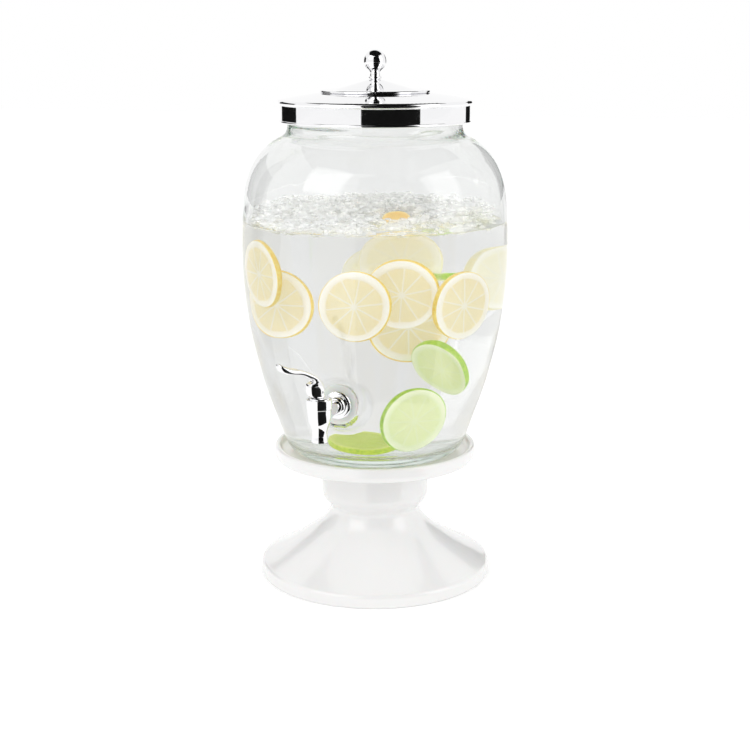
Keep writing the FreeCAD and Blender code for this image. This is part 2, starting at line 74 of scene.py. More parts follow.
# ---- camera -------------------------------------------------------------------------------
CAMERA_AZIMUTH = math.radians(17.0)          # to the right of the tap
CAMERA_DISTANCE = 1.2267
CAMERA_HEIGHT = 0.466
CAMERA_TILT = math.radians(13.3)
CAMERA_LENS = 69.6
SENSOR = 36.0
TOWARDS = Vector((math.sin(CAMERA_AZIMUTH), -math.cos(CAMERA_AZIMUTH), 0))
ACROSS = Vector((math.cos(CAMERA_AZIMUTH), math.sin(CAMERA_AZIMUTH), 0))

# ---- jar: radius and height in millimetres, as in the CAD ---------------------------------
JAR_BOTTOM = [(0, 112.2), (30.0, 112.2), (52.0, 112.2), (54.6, 111.33), (57.4, 111.0), (63.0, 111.0),
              (65.5, 111.35)]
JAR_OUTSIDE = [(65.5, 111.35), (68.6, 112.0), (73.4, 115.0), (76.9, 119.6), (79.6, 126.0),
               (87.2, 147.7), (94.6, 169.3), (100.4, 190.7), (105.4, 212.0), (108.8, 233.0),
               (111.1, 254.0), (112.5, 285.0), (111.9, 310.0), (109.7, 336.0), (105.6, 352.0),
               (99.0, 364.5), (91.5, 373.0), (84.0, 378.6), (78.4, 381.6), (75.0, 384.4),
               (73.5, 388.5), (73.5, 393.0), (73.5, 397.4)]
JAR_RIM = [(73.5, 397.4), (74.6, 399.2), (76.7, 400.4), (77.6, 402.4), (77.6, 403.8),
           (76.2, 406.9), (72.8, 408.0), (69.7, 406.7), (68.5, 403.6)]
JAR_INSIDE = [(68.5, 403.6), (68.5, 397.0), (68.5, 391.0), (69.2, 386.4), (71.4, 382.8),
              (75.6, 379.6), (81.0, 376.0), (88.2, 369.8), (95.2, 361.7), (101.3, 350.2),
              (105.3, 334.8), (107.5, 310.0), (108.1, 285.0), (106.6, 254.0), (104.3, 233.0),
              (100.9, 212.0), (95.9, 190.7), (90.0, 169.3), (82.4, 146.5), (75.6, 129.6),
              (71.6, 124.6), (65.6, 121.8), (58.0, 121.0)]
JAR_FLOOR = [(58.0, 121.0), (30.0, 121.0), (0, 121.0)]
WALL_SPACING = 2.2                           # between the rows of the mesh
RIM_SPACING = 1.2
BOTTOM_SPACING = 4.0
FLOOR_SPACING = 5.0
JAR_COLUMNS = 256
DRINK_COLUMNS = 192
TAP_CROWDING = 0.45                          # how much closer the columns stand at the tap
PAD_R = 19.0 * MM                            # flat outside for the tap's gasket
PAD_FLANK = 9.0 * MM
POCKET_R = 15.6 * MM                         # flat inside for the nut's gasket
POCKET_FLANK = 6.0 * MM
HOLE_R = 8.5 * MM


# ---- geometry helpers ---------------------------------------------------------------------
def smooth_curve(points, spacing):
    """Evenly spaced points, about `spacing` apart, along a natural cubic through the given ones."""
    knots = np.array(points, float)
    count = len(knots)
    chord = np.concatenate([[0], np.cumsum(np.linalg.norm(np.diff(knots, axis=0), axis=1))])
    step = np.diff(chord)
    slope = np.diff(knots, axis=0) / step[:, None]
    system = np.eye(count)
    change = np.zeros_like(knots)
    for i in range(1, count - 1):
        system[i, i - 1:i + 2] = step[i - 1], 2 * (step[i - 1] + step[i]), step[i]
        change[i] = 6 * (slope[i] - slope[i - 1])
    bend = np.linalg.solve(system, change)
    places = np.linspace(0, chord[-1], max(2, int(chord[-1] / spacing) + 1))
    index = np.clip(np.searchsorted(chord, places, side="right") - 1, 0, count - 2)
    before = ((chord[index + 1] - places) / step[index])[:, None]
    after = 1 - before
    curve = before * knots[index] + after * knots[index + 1]
    sag = (before ** 3 - before) * bend[index] + (after ** 3 - after) * bend[index + 1]
    curve += sag * (step[index] ** 2 / 6)[:, None]
    return [tuple(p) for p in curve]


def chain(*runs):
    """Join runs of points, dropping the repeated point where two runs meet."""
    joined = list(runs[0])
    for run in runs[1:]:
        joined.extend(run[1:])
    return joined


def smoothstep(value, low, high):
    t = min(1.0, max(0.0, (value - low) / (high - low)))
    return t * t * (3 - 2 * t)


def new_object(name, data):
    item = bpy.data.objects.new(name, data)
    bpy.context.scene.collection.objects.link(item)
    return item


def mesh_object(name, verts, faces):
    mesh = bpy.data.meshes.new(name)
    mesh.from_pydata([tuple(v) for v in verts], [], faces)
    mesh.validate()
    return new_object(name, mesh)


def ready_made(name, make, **settings):
    """Object from one of bmesh's own solids."""
    shape = bmesh.new()
    make(shape, **settings)
    mesh = bpy.data.meshes.new(name)
    shape.to_mesh(mesh)
    shape.free()
    return new_object(name, mesh)


def ring_object(name, radii, columns, point):
    """Closed surface of rings, pole to pole. A ring of no radius is one point.
    `point(row, column)` gives each place."""
    pole = [radius < 1e-7 for radius in radii]
    verts, starts = [], []
    for row in range(len(radii)):
        starts.append(len(verts))
        verts.extend(point(row, column) for column in range(1 if pole[row] else columns))
    faces = []
    for row in range(len(radii) - 1):
        low, high = starts[row], starts[row + 1]
        for i in range(columns):
            j = (i + 1) % columns
            if pole[row]:
                faces.append((low, high + j, high + i))
            elif pole[row + 1]:
                faces.append((low + i, low + j, high))
            else:
                faces.append((low + i, low + j, high + j, high + i))
    return mesh_object(name, verts, faces)


def shade(item, sharp_degrees):
    """Smooth shading, kept crisp where two faces meet at more than the given angle."""
    item.data.shade_smooth()
    item.data.set_sharp_from_angle(angle=math.radians(sharp_degrees))


def cut_away(item, cutter):
    """Subtract one closed mesh from another and drop the cutter."""
    modifier = item.modifiers.new("cut", "BOOLEAN")
    modifier.operation = "DIFFERENCE"
    modifier.solver = "EXACT"
    modifier.object = cutter
    graph = bpy.context.evaluated_depsgraph_get()
    mesh = bpy.data.meshes.new_from_object(item.evaluated_get(graph))
    item.modifiers.clear()
    item.data = mesh
    bpy.data.objects.remove(cutter)


def paint(item, material):
    """Give a new piece its only material."""
    item.data.materials.clear()
    item.data.materials.append(material)


def bearing(degrees):
    """Level direction from the jar's axis, so many degrees to the right of the camera."""
    angle = math.radians(degrees)
    return TOWARDS * math.cos(angle) + ACROSS * math.sin(angle)


def around(degrees, distance, height):
    """Place in that direction, at a distance from the jar's axis."""
    return bearing(degrees) * distance + Vector((0, 0, height))


# ---- material helpers ---------------------------------------------------------------------
class Nodes:
    """A material's node tree, built by short calls."""

    SHADER_INPUTS = {
        "color": "Base Color", "metal": "Metallic", "rough": "Roughness", "ior": "IOR",
        "clear": "Transmission Weight", "sss": "Subsurface Weight", "sss_scale": "Subsurface Scale",
        "coat": "Coat Weight", "coat_rough": "Coat Roughness", "specular": "Specular IOR Level",
        "normal": "Normal", "glow": "Emission Color", "glow_strength": "Emission Strength",
    }

    def __init__(self, name):
        self.material = bpy.data.materials.new(name)
        self.material.use_nodes = True
        self.tree = self.material.node_tree
        self.shader = self.tree.nodes["Principled BSDF"]
        self.output = self.tree.nodes["Material Output"]

    def feed(self, value, socket):
        """Link another node's output, or set a number, a vector or a colour."""
        if isinstance(value, bpy.types.NodeSocket):
            self.tree.links.new(value, socket)
        elif socket.type == "RGBA":
            socket.default_value = (*value, 1)
        else:
            socket.default_value = value

    def add(self, kind, inputs=None, **settings):
        """New node: `inputs` go by the name or number of their socket."""
        node = self.tree.nodes.new(kind)
        for key, value in settings.items():
            setattr(node, key, value)
        for key, value in (inputs or {}).items():
            self.feed(value, node.inputs[key])
        return node

    def set(self, **values):
        for key, value in values.items():
            self.feed(value, self.shader.inputs[self.SHADER_INPUTS[key]])

    def coords(self):
        return self.add("ShaderNodeTexCoord").outputs["Object"]

    def noise(self, scale, detail=3.0, rough=0.5, vector=None):
        inputs = {"Scale": scale, "Detail": detail, "Roughness": rough,
                  "Vector": vector or self.coords()}
        return self.add("ShaderNodeTexNoise", inputs).outputs["Fac"]

    def ramp(self, value, low, low_color, high, high_color):
        """Blend of two colours as a value goes from low to high."""
        node = self.add("ShaderNodeValToRGB", {"Fac": value})
        stops = ((low, low_color), (high, high_color))
        for element, (place, color) in zip(node.color_ramp.elements, stops):
            element.position = place
            element.color = (*color, 1)
        return node.outputs["Color"]

    def spread(self, value, low, high, to_low, to_high):
        """A value's range, turned into another and held at its ends."""
        inputs = {"Value": value, "From Min": low, "From Max": high, "To Min": to_low, "To Max": to_high}
        return self.add("ShaderNodeMapRange", inputs, clamp=True).outputs["Result"]

    def math(self, operation, *values):
        return self.add("ShaderNodeMath", dict(enumerate(values)), operation=operation).outputs["Value"]

    def mix(self, factor, first, second):
        node = self.add("ShaderNodeMix", data_type="RGBA")
        sockets = {socket.name: socket for socket in node.inputs if socket.enabled}
        for key, value in (("Factor", factor), ("A", first), ("B", second)):
            self.feed(value, sockets[key])
        return next(socket for socket in node.outputs if socket.enabled)

    def bump(self, height, strength, distance):
        inputs = {"Height": height, "Strength": strength, "Distance": distance}
        self.set(normal=self.add("ShaderNodeBump", inputs).outputs["Normal"])

    def absorb(self, color, density):
        """Tint that deepens with the thickness of the glass or liquid."""
        volume = self.add("ShaderNodeVolumeAbsorption", {"Color": color, "Density": density})
        self.feed(volume.outputs["Volume"], self.output.inputs["Volume"])

    def not_a_lamp(self):
        """Its own light shows, but no rays are sent to it as to a lamp."""
        self.material.cycles.emission_sampling = "NONE"


# ---- materials ----------------------------------------------------------------------------
def glass_material():
    m = Nodes("clear_glass")
    m.set(color=(0.99, 0.993, 0.991), rough=0.0, ior=1.5, clear=1.0)
    m.absorb((0.74, 0.90, 0.83), 3.2)
    m.bump(m.noise(28.0, 2.0), 0.05, 0.002)
    return m.material


def drink_material():
    m = Nodes("drink")
    m.set(color=(0.994, 0.994, 0.993), rough=0.0, ior=1.333, clear=1.0)
    m.absorb((0.90, 0.90, 0.90), 6.5)
    return m.material


def ice_material():
    m = Nodes("ice")
    cloud = m.spread(m.noise(90.0, 4.0), 0.52, 0.7, 0.0, 1.0)
    # a faint painted glow: the ice gives off a little white light of its own
    m.set(color=(0.985, 0.985, 0.985), ior=1.15, glow=(1, 1, 1), glow_strength=0.018)
    m.set(rough=m.spread(cloud, 0.0, 1.0, 0.02, 0.3), clear=m.spread(cloud, 0.0, 1.0, 0.6, 0.1))
    m.bump(m.noise(420.0), 0.3, 0.0006)
    m.not_a_lamp()
    return m.material


def ceramic_material():
    m = Nodes("ceramic")
    m.set(color=m.ramp(m.noise(7.0, 4.0), 0.3, (0.775, 0.772, 0.766), 0.7, (0.80, 0.797, 0.792)),
          rough=m.spread(m.noise(60.0), 0.3, 0.7, 0.16, 0.26), ior=1.5, coat=0.6, coat_rough=0.06,
          sss=0.05, sss_scale=0.004)
    m.bump(m.noise(45.0), 0.06, 0.0015)
    return m.material


def chrome_material(name, tint, rough):
    m = Nodes(name)
    smear = m.noise(55.0, 4.0, 0.6)
    m.set(color=tint, metal=1.0, rough=m.spread(smear, 0.35, 0.75, rough, rough + 0.05))
    m.bump(m.noise(35.0, 2.0), 0.02, 0.001)
    return m.material


def steel_material():
    m = Nodes("steel")
    brushed = m.add("ShaderNodeMapping", {"Vector": m.coords(), "Scale": (1.0, 1.0, 14.0)})
    lines = m.noise(700.0, 2.0, vector=brushed.outputs["Vector"])
    m.set(color=(0.62, 0.62, 0.63), metal=1.0, rough=m.spread(lines, 0.3, 0.7, 0.2, 0.36))
    m.bump(lines, 0.08, 0.0005)
    return m.material


def silicone_material(name, tint):
    m = Nodes(name)
    m.set(color=tint, rough=m.spread(m.noise(220.0), 0.3, 0.7, 0.28, 0.42), ior=1.41, clear=0.4,
          sss=0.3, sss_scale=0.004)
    m.bump(m.noise(400.0, 2.0), 0.1, 0.0004)
    return m.material


def rubber_material():
    m = Nodes("black_rubber")
    m.set(color=(0.03, 0.03, 0.032), rough=0.55)
    m.bump(m.noise(900.0, 2.0), 0.15, 0.0003)
    return m.material


# ---- jar ----------------------------------------------------------------------------------
def metres(points):
    return [(r * MM, z * MM) for r, z in points]


def inside_curve():
    return chain(smooth_curve(JAR_INSIDE, WALL_SPACING), smooth_curve(JAR_FLOOR, FLOOR_SPACING))


def flattened(x, y, z, flat_y, radius, flank):
    """The wall's y where it turns flat round the tap's hole, with a soft flank."""
    if y > 0:
        return y
    near = 1 - smoothstep(math.hypot(x, z - TAP_Z), radius, radius + flank)
    return y + (flat_y - y) * near


def on_inner_wall(x, y, z):
    return x, flattened(x, y, z, PAD_INNER_Y, POCKET_R, POCKET_FLANK), z


def lathe(name, rows, columns, place):
    """Turned surface from (radius, height) rows; `place(x, y, z, row)` may move each point."""
    even = [2 * math.pi * i / columns for i in range(columns)]
    angles = [a - TAP_CROWDING * math.sin(a) for a in even]

    def point(row, column):
        radius, height = rows[row]
        angle = angles[column]
        return place(radius * math.sin(angle), -radius * math.cos(angle), height, row)

    return ring_object(name, [radius for radius, _ in rows], columns, point)


def unevenness(x, y, z):
    """How far the blown glass strays inside: long waves, with stronger ones and fine streaks in
    the neck, and none at the rim."""
    up = z - JAR_HIGH.z                      # from the top of the rim, so it is negative
    wave = 0.35 * MM * noise.noise(Vector((x * 22, y * 22, z * 34)))
    wave *= 1 + 2.0 * smoothstep(up, -50 * MM, -25 * MM)
    streak = 0.6 * MM * noise.noise(Vector((x * 16, y * 16, z * 190)))
    wave += streak * smoothstep(up, -42 * MM, -32 * MM)
    return wave * (1 - smoothstep(up, -14 * MM, -6 * MM))


def jar():
    """Glass jar with the slightly uneven inside that blown glass has."""
    outside = chain(smooth_curve(JAR_BOTTOM, BOTTOM_SPACING), smooth_curve(JAR_OUTSIDE, WALL_SPACING))
    rim = smooth_curve(JAR_RIM, RIM_SPACING)
    rows = metres(chain(outside, rim, inside_curve()))
    rows[0] = (0.0, rows[0][1])
    rows[-1] = (0.0, rows[-1][1])
    turn = len(outside) + len(rim) // 2

    def place(x, y, z, row):
        if row < turn:
            return x, flattened(x, y, z, PAD_Y, PAD_R, PAD_FLANK), z
        radius = max(math.hypot(x, y), 1e-6)
        thick = 1 + unevenness(x, y, z) / radius
        return on_inner_wall(x * thick, y * thick, z)

    item = lathe("glass_jar", rows, JAR_COLUMNS, place)
    cut_away(item, hole_cutter())
    shade(item, 40.0)
    paint(item, FINISHES["clear_glass"])
    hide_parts("jar")
    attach(item, "jar")


def hole_cutter():
    turn = Matrix.Rotation(math.pi / 2, 4, "X")
    middle = Matrix.Translation((0, (PAD_Y + PAD_INNER_Y) / 2, TAP_Z))
    return ready_made("hole", bmesh.ops.create_cone, cap_ends=True, segments=96, radius1=HOLE_R,
                      radius2=HOLE_R, depth=20 * MM, matrix=middle @ turn)


def drink():
    """The liquid, a touch larger than the jar's inside so that the two surfaces overlap."""
    overlap = 0.5
    level = WATER_Z / MM
    below = [point for point in inside_curve() if point[1] < level - 0.5]
    wall = [(r + overlap if r > 0.01 else 0.0, z - overlap) for r, z in reversed(below)]
    edge = wall[-1][0]
    # the surface creeps up the glass at its edge
    surface = [(edge, level + 1.2), (edge - 1.0, level + 0.8), (edge - 2.5, level + 0.25),
               (edge - 5.0, level)]
    surface += [(r, level) for r in np.arange(edge - 8.0, 2.0, -3.0)] + [(0.0, level)]

    def place(x, y, z, row):
        if row < len(wall):
            return on_inner_wall(x, y, z)
        ripple = 0.5 * MM * noise.noise(Vector((x * 60, y * 60, 3.1)))
        return x, y, z + ripple

    item = lathe("drink", metres(wall + surface), DRINK_COLUMNS, place)
    shade(item, 50.0)
    paint(item, drink_material())
    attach(item, "jar")


# ---- ice ----------------------------------------------------------------------------------
ICE_SEED = 5
ICE_TRIES = 4600
ICE_REACH = 101 * MM
ICE_BANK = 15 * MM                           # height of the bank at the back
CHIP_SHAPE = (1.7, 1.4, 0.6)
TIP_GAP = ((4 * MM, 32 * MM), (2 * MM, 34 * MM))    # open water where lemon_tip stands


def ice():
    """Crushed ice floating on the drink, banked up towards the back of the jar."""
    rng = np.random.default_rng(ICE_SEED)
    ball = bmesh.new()
    bmesh.ops.create_icosphere(ball, subdivisions=1, radius=1.0)
    ways = np.array([v.co for v in ball.verts])
    triangles = np.array([[v.index for v in f.verts] for f in ball.faces])
    ball.free()
    (gap_left, gap_right), (gap_back, gap_front) = TIP_GAP
    verts, faces = [], []
    for _ in range(ICE_TRIES):
        angle = rng.uniform(0, 2 * math.pi)
        radius = ICE_REACH * math.sqrt(rng.random())
        across, near = radius * math.cos(angle), radius * math.sin(angle)
        # the ice thins out towards the front right
        open_water = smoothstep(near + 0.5 * across, 20 * MM, 75 * MM)
        if rng.random() < 0.95 * open_water:
            continue
        if gap_left < across < gap_right and gap_back < near < gap_front:
            continue
        bank = ICE_BANK * (1 - smoothstep(near, -20 * MM, 75 * MM))
        bank += 3 * MM * noise.noise(Vector((across * 40, near * 40, 1.7)))
        deep = 4 * MM - 3.4 * MM * smoothstep(near, -30 * MM, 30 * MM)
        height = WATER_Z + rng.uniform(-deep, max(bank, 0.8 * MM))
        size = rng.uniform(1.2 * MM, 3.6 * MM)
        turn = np.array(Matrix.Rotation(rng.uniform(0, 6.28), 3, "Z")
                        @ Matrix.Rotation(rng.uniform(-0.5, 0.5), 3, "X"))
        chip = ways * rng.uniform(0.72, 1.2, (len(ways), 1)) * rng.uniform(0.6, 1.3, (1, 3))
        chip = (chip * CHIP_SHAPE) @ turn.T * size
        middle = np.array(ACROSS * across + TOWARDS * near + Vector((0, 0, height)))
        start = len(verts)
        verts.extend((chip + middle).tolist())
        faces.extend((triangles + start).tolist())
    item = mesh_object("crushed_ice", verts, faces)
    paint(item, ice_material())
    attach(item, "jar")


# ---- fruit --------------------------------------------------------------------------------
# `lift` is the light a slice gives off by itself, for what shines through it in the photo.
LEMON = dict(rind=(0.975, 0.79, 0.22), deep=(0.96, 0.68, 0.10), pith=(0.985, 0.985, 0.965),
             flesh=(0.945, 0.885, 0.62), pale=(0.96, 0.93, 0.80), lift=0.07)
# paler copy of the lemon's colours, with a stronger painted glow
PALE_LEMON = dict(rind=(0.97, 0.925, 0.70), deep=(0.965, 0.90, 0.62), pith=(0.97, 0.965, 0.90),
              flesh=(0.965, 0.945, 0.80), pale=(0.97, 0.955, 0.87), lift=0.12)
ZEST = dict(rind=(0.975, 0.76, 0.28), deep=(0.965, 0.68, 0.18), pith=(0.975, 0.84, 0.46),
            flesh=(0.97, 0.78, 0.34), pale=(0.975, 0.85, 0.48), lift=0.08)
LIME = dict(rind=(0.50, 0.74, 0.05), deep=(0.34, 0.61, 0.03), pith=(0.91, 0.945, 0.74),
            flesh=(0.86, 0.905, 0.58), pale=(0.93, 0.95, 0.74), lift=0.12)
LIME_END = dict(rind=(0.70, 0.84, 0.08), deep=(0.50, 0.70, 0.04), pith=(0.80, 0.88, 0.22),
                flesh=(0.66, 0.80, 0.10), pale=(0.84, 0.90, 0.28), lift=0.12)
SEGMENTS = 10
SLICE_SEED = 11
SLICE_THICKNESS = 6.5 * MM
# Each slice: its look and radius (mm); across the view, towards the camera and height above the
# jar's floor (mm); then where its face looks: turned to the right of the camera, tipped up (degrees).
FRUIT = [
    ("lemon_side", LEMON, 27.5, (-86, 42, 152), (-61, -6)),
    ("lemon_left", LEMON, 27.5, (-68, 26, 126), (-26, 4)),
    ("lemon_front", LEMON, 28.0, (-15, 86, 133), (-14, 6)),
    ("lemon_behind", LEMON, 28.0, (20, 62, 140), (-10, -6)),
    ("lemon_lower", LEMON, 28.5, (22, 18, 109), (14, 8)),
    ("lemon_right", LEMON, 27.5, (66, 63, 130), (38, -4)),
    ("lemon_edge", PALE_LEMON, 25.0, (68, -43, 138), (60, 4)),
    ("lime_upper", LIME, 28.0, (50, 44, 77), (-40, -32)),
    ("lime_lower", LIME, 28.5, (29, 64, 35), (32, -8)),
    ("lime_floor", LIME_END, 25.0, (-8, 26, 10.5), (4, 74)),
    ("lemon_afloat", PALE_LEMON, 27.0, (17, 2, 158), (-6, 5)),
    ("lemon_tip", ZEST, 12.0, (18, 14, 191), (0, 66)),
    ("lemon_back_low", PALE_LEMON, 27.0, (6, -30, 140), (-20, 5)),
    ("lime_back", LIME, 15.0, (53, 22, 148.5), (0, 97)),
]


def citrus_material(name, kind, radius):
    """Cut face: rind, pith, membranes between segments and juice sacs; rind round the edge."""
    m = Nodes(name)
    x, y, _ = m.add("ShaderNodeSeparateXYZ", {"Vector": m.coords()}).outputs
    squares = m.math("ADD", m.math("MULTIPLY", x, x), m.math("MULTIPLY", y, y))
    flat = m.math("DIVIDE", m.math("SQRT", squares), radius)      # 0 at the centre, 1 at the rind
    out = m.math("ADD", flat, m.spread(m.noise(70.0, 2.0), 0.3, 0.7, -0.03, 0.03))
    angle = m.math("ARCTAN2", y, x)
    turns = m.math("MULTIPLY", angle, SEGMENTS / (2 * math.pi))
    gap = m.math("ABSOLUTE", m.math("SUBTRACT", m.math("FRACT", turns), 0.5))
    # distance from the nearest membrane, in radii
    apart = m.math("MULTIPLY", m.math("SUBTRACT", 0.5, gap), m.math("MULTIPLY", flat, 0.62))
    membrane = m.spread(apart, 0.008, 0.032, 1.0, 0.0)
    core = m.spread(out, 0.06, 0.12, 1.0, 0.0)
    polar = m.add("ShaderNodeCombineXYZ", {"X": m.math("MULTIPLY", flat, 2.2),
                                           "Y": m.math("MULTIPLY", angle, 6.0)})
    sacs = m.noise(3.4, 4.0, 0.6, vector=polar.outputs["Vector"])
    flesh = m.ramp(sacs, 0.3, kind["flesh"], 0.7, kind["pale"])
    rind = m.ramp(m.noise(320.0), 0.35, kind["deep"], 0.62, kind["rind"])
    face = m.mix(m.math("MAXIMUM", membrane, core), flesh, kind["pith"])
    face = m.mix(m.spread(out, 0.775, 0.815, 0.0, 1.0), face, kind["pith"])
    face = m.mix(m.spread(flat, 0.97, 0.992, 0.0, 1.0), face, rind)
    m.set(color=face, rough=0.3, ior=1.36, glow=face, glow_strength=kind["lift"])
    m.not_a_lamp()
    inside = m.spread(out, 0.78, 0.84, 1.0, 0.0)
    m.bump(m.math("ADD", m.math("MULTIPLY", sacs, inside), m.noise(500.0, 2.0)), 0.25, 0.0006)
    through = m.add("ShaderNodeBsdfTranslucent", {"Color": face})
    blend = m.add("ShaderNodeMixShader", {"Fac": m.spread(out, 0.80, 0.9, 0.45, 0.12),
                                          1: m.shader.outputs["BSDF"], 2: through.outputs["BSDF"]})
    m.feed(blend.outputs["Shader"], m.output.inputs["Surface"])
    return m.material


def citrus_slice(name, radius, seed):
    """A cut slice: rounded rind edge, raised membranes, sunken juice sacs, a little warp."""
    face_rows = 26
    columns = 120
    face = [(i / face_rows * 0.95, 0.5) for i in range(face_rows + 1)]
    upper = face + [(0.965, 0.5), (0.988, 0.43), (1.0, 0.28), (1.004, 0.0)]
    profile = [(r, -h) for r, h in upper[:-1]] + upper[::-1]

    def point(row, column):
        r, h = profile[row]
        angle = 2 * math.pi * column / columns
        x, y = math.cos(angle), math.sin(angle)
        bulge = 1 + 0.025 * noise.noise(Vector((x * 1.3, y * 1.3, seed)))
        turns = angle * SEGMENTS / (2 * math.pi)
        ridge = 1 - smoothstep((0.5 - abs(turns % 1 - 0.5)) * r, 0.02, 0.12)
        x, y = x * r, y * r
        dip = -0.045 * (1 - ridge) * smoothstep(r, 0.12, 0.3) * (1 - smoothstep(r, 0.72, 0.84))
        dip += 0.02 * noise.noise(Vector((x * 9, y * 9, seed + 4)))
        height = h * SLICE_THICKNESS * (1 + (dip * 2 if r < 0.9 else 0))
        warp = 0.035 * noise.noise(Vector((x * 1.2, y * 1.2, seed + 9))) * radius
        return x * radius * bulge, y * radius * bulge, height + warp

    item = ring_object(name, [r for r, _ in profile], columns, point)
    shade(item, 50.0)
    return item


def fruit():
    floor = JAR_LOW.z + 10 * MM
    for index, (name, kind, radius, (across, near, up), (turn, tip)) in enumerate(FRUIT):
        item = citrus_slice(name, radius * MM, SLICE_SEED + index * 3.7)
        tip = math.radians(tip)
        face = bearing(turn) * math.cos(tip) + Vector((0, 0, math.sin(tip)))
        turned = face.to_track_quat("Z", "Y").to_matrix().to_4x4()
        spin = Matrix.Rotation(index * 0.7, 4, "Z")
        middle = ACROSS * (across * MM) + TOWARDS * (near * MM) + Vector((0, 0, floor + up * MM))
        item.matrix_world = Matrix.Translation(middle) @ turned @ spin
        paint(item, citrus_material(name, kind, radius * MM))
        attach(item, "jar")


# ---- lever --------------------------------------------------------------------------------
# Sections from the cam block up the neck to the thumb end: rear point and front point
# (reach from the barrel's axis, height) and half width, in millimetres.
LEVER_SECTIONS = [
    ((-3.3, 191.7), (5.2, 191.7), 4.7), ((-3.5, 192.2), (7.4, 192.3), 5.1),
    ((-3.5, 194.4), (9.8, 194.6), 5.3), ((-3.5, 197.6), (10.5, 198.4), 5.4),
    ((-3.0, 200.6), (10.5, 201.6), 5.4), ((-2.0, 202.9), (9.4, 203.2), 5.2),
    ((-0.2, 205.4), (6.6, 204.1), 4.9), ((3.4, 208.7), (6.7, 206.4), 4.7),
    ((7.2, 211.3), (9.9, 207.6), 4.6), ((11.2, 213.3), (13.2, 209.4), 4.6),
    ((17.4, 215.8), (18.7, 211.2), 4.9), ((23.2, 217.3), (24.6, 212.0), 5.6),
    ((28.6, 218.9), (30.6, 213.9), 6.1), ((32.0, 220.5), (34.2, 216.6), 5.4),
    ((33.9, 221.6), (35.5, 219.0), 3.9), ((34.9, 221.9), (36.0, 220.5), 1.7),
]
LEVER_COLUMNS = 40
SECTION_POWER = 0.62                         # 1 for a round section, less for a squarer one
SLOT_LOW = (-2.7, -2.25, 180.0)              # slot for the stem: ahead, sideways, height (mm)
SLOT_HIGH = (6.0, 2.25, 199.7)


def lever_place(ahead, off, height):
    """Place from the barrel's axis, in millimetres; the height is from the floor."""
    axis = Vector((BARREL.x, BARREL.y, 0))
    return axis + LEVER_AHEAD * (ahead * MM) + LEVER_SIDE * (off * MM) + Vector((0, 0, height * MM))


def squared(value):
    """Push a cosine or a sine outwards, so that the section has corners."""
    return math.copysign(abs(value) ** SECTION_POWER, value)


def lever():
    """Cast lever with soft edges, slotted below for the stem."""
    sections = smooth_curve([[*rear, *front, half] for rear, front, half in LEVER_SECTIONS], 0.8)
    columns = LEVER_COLUMNS
    verts = []
    for rear, rear_z, front, front_z, half in sections:
        for i in range(columns):
            angle = 2 * math.pi * i / columns
            across, along = squared(math.cos(angle)), squared(math.sin(angle))
            verts.append(lever_place((rear + front) / 2 + (rear - front) / 2 * along, half * across,
                                     (rear_z + front_z) / 2 + (rear_z - front_z) / 2 * along))
    faces = [tuple(reversed(range(columns))), tuple(range(len(verts) - columns, len(verts)))]
    for low in range(0, len(verts) - columns, columns):
        high = low + columns
        for i in range(columns):
            j = (i + 1) % columns
            faces.append((low + i, low + j, high + j, high + i))
    item = mesh_object("cast_lever", verts, faces)
    cut_away(item, slot_cutter())
    shade(item, 50.0)
    paint(item, FINISHES["tap_chrome"])
    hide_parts("lever")
    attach(item, "lever")


def slot_cutter():
    middle = lever_place(*((low + high) / 2 for low, high in zip(SLOT_LOW, SLOT_HIGH)))
    turn = Matrix((LEVER_AHEAD, LEVER_SIDE, (0, 0, 1))).transposed().to_4x4()
    size = Matrix.Diagonal([(high - low) * MM for low, high in zip(SLOT_LOW, SLOT_HIGH)]).to_4x4()
    return ready_made("slot", bmesh.ops.create_cube, size=1.0,
                      matrix=Matrix.Translation(middle) @ turn @ size)


# ---- carried-over CAD nodes ---------------------------------------------------------------
def finishes():
    return {
        "ceramic": ceramic_material(),
        "lid_chrome": chrome_material("lid_chrome", (0.90, 0.90, 0.91), 0.02),
        "tap_chrome": chrome_material("tap_chrome", (0.88, 0.88, 0.89), 0.03),
        "steel": steel_material(),
        "lid_silicone": silicone_material("lid_silicone", (0.88, 0.89, 0.89)),
        "tap_silicone": silicone_material("tap_silicone", (0.90, 0.90, 0.88)),
        "black_rubber": rubber_material(),
        "clear_glass": glass_material(),
    }


def dress_nodes():
    slots = {part["node"]: part["material_slot"] for part in RECORD["subparts"]}
    for name, node in NODES.items():
        for slot in node.material_slots:
            slot.material = FINISHES[slots[name]]


def valve_spring():
    """The valve's spring, a copy of its own that rides with the stem."""
    item = new_object("valve_spring", NODES["stem_spring"].data.copy())
    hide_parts("stem_spring")
    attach(item, "stem")
    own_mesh(item)


# ---- studio -------------------------------------------------------------------------------
def plain(name, level, lift=0.0):
    """Dull grey paint, lifted by a little light of its own."""
    m = Nodes(name)
    m.set(color=m.ramp(m.noise(3.0), 0.3, (level * 0.995,) * 3, 0.7, (level,) * 3),
          rough=0.9, specular=0.1, glow=(1, 1, 1), glow_strength=lift)
    return m.material


def glow(name, level):
    """A card of even brightness, whatever the light on it."""
    m = Nodes(name)
    even = m.add("ShaderNodeEmission", {"Strength": level})
    m.feed(even.outputs["Emission"], m.output.inputs["Surface"])
    m.not_a_lamp()
    return m.material


def aim(item, place, look_at):
    """Put an item at a place, with its -Z side towards another."""
    turn = (Vector(place) - Vector(look_at)).to_track_quat("Z", "Y").to_matrix().to_4x4()
    item.matrix_world = Matrix.Translation(place) @ turn


def flat_card(name, width, height, place, look_at, material):
    w, h = width / 2, height / 2
    item = mesh_object(name, [(-w, -h, 0), (w, -h, 0), (w, h, 0), (-w, h, 0)], [(0, 1, 2, 3)])
    paint(item, material)
    aim(item, place, look_at)
    return item


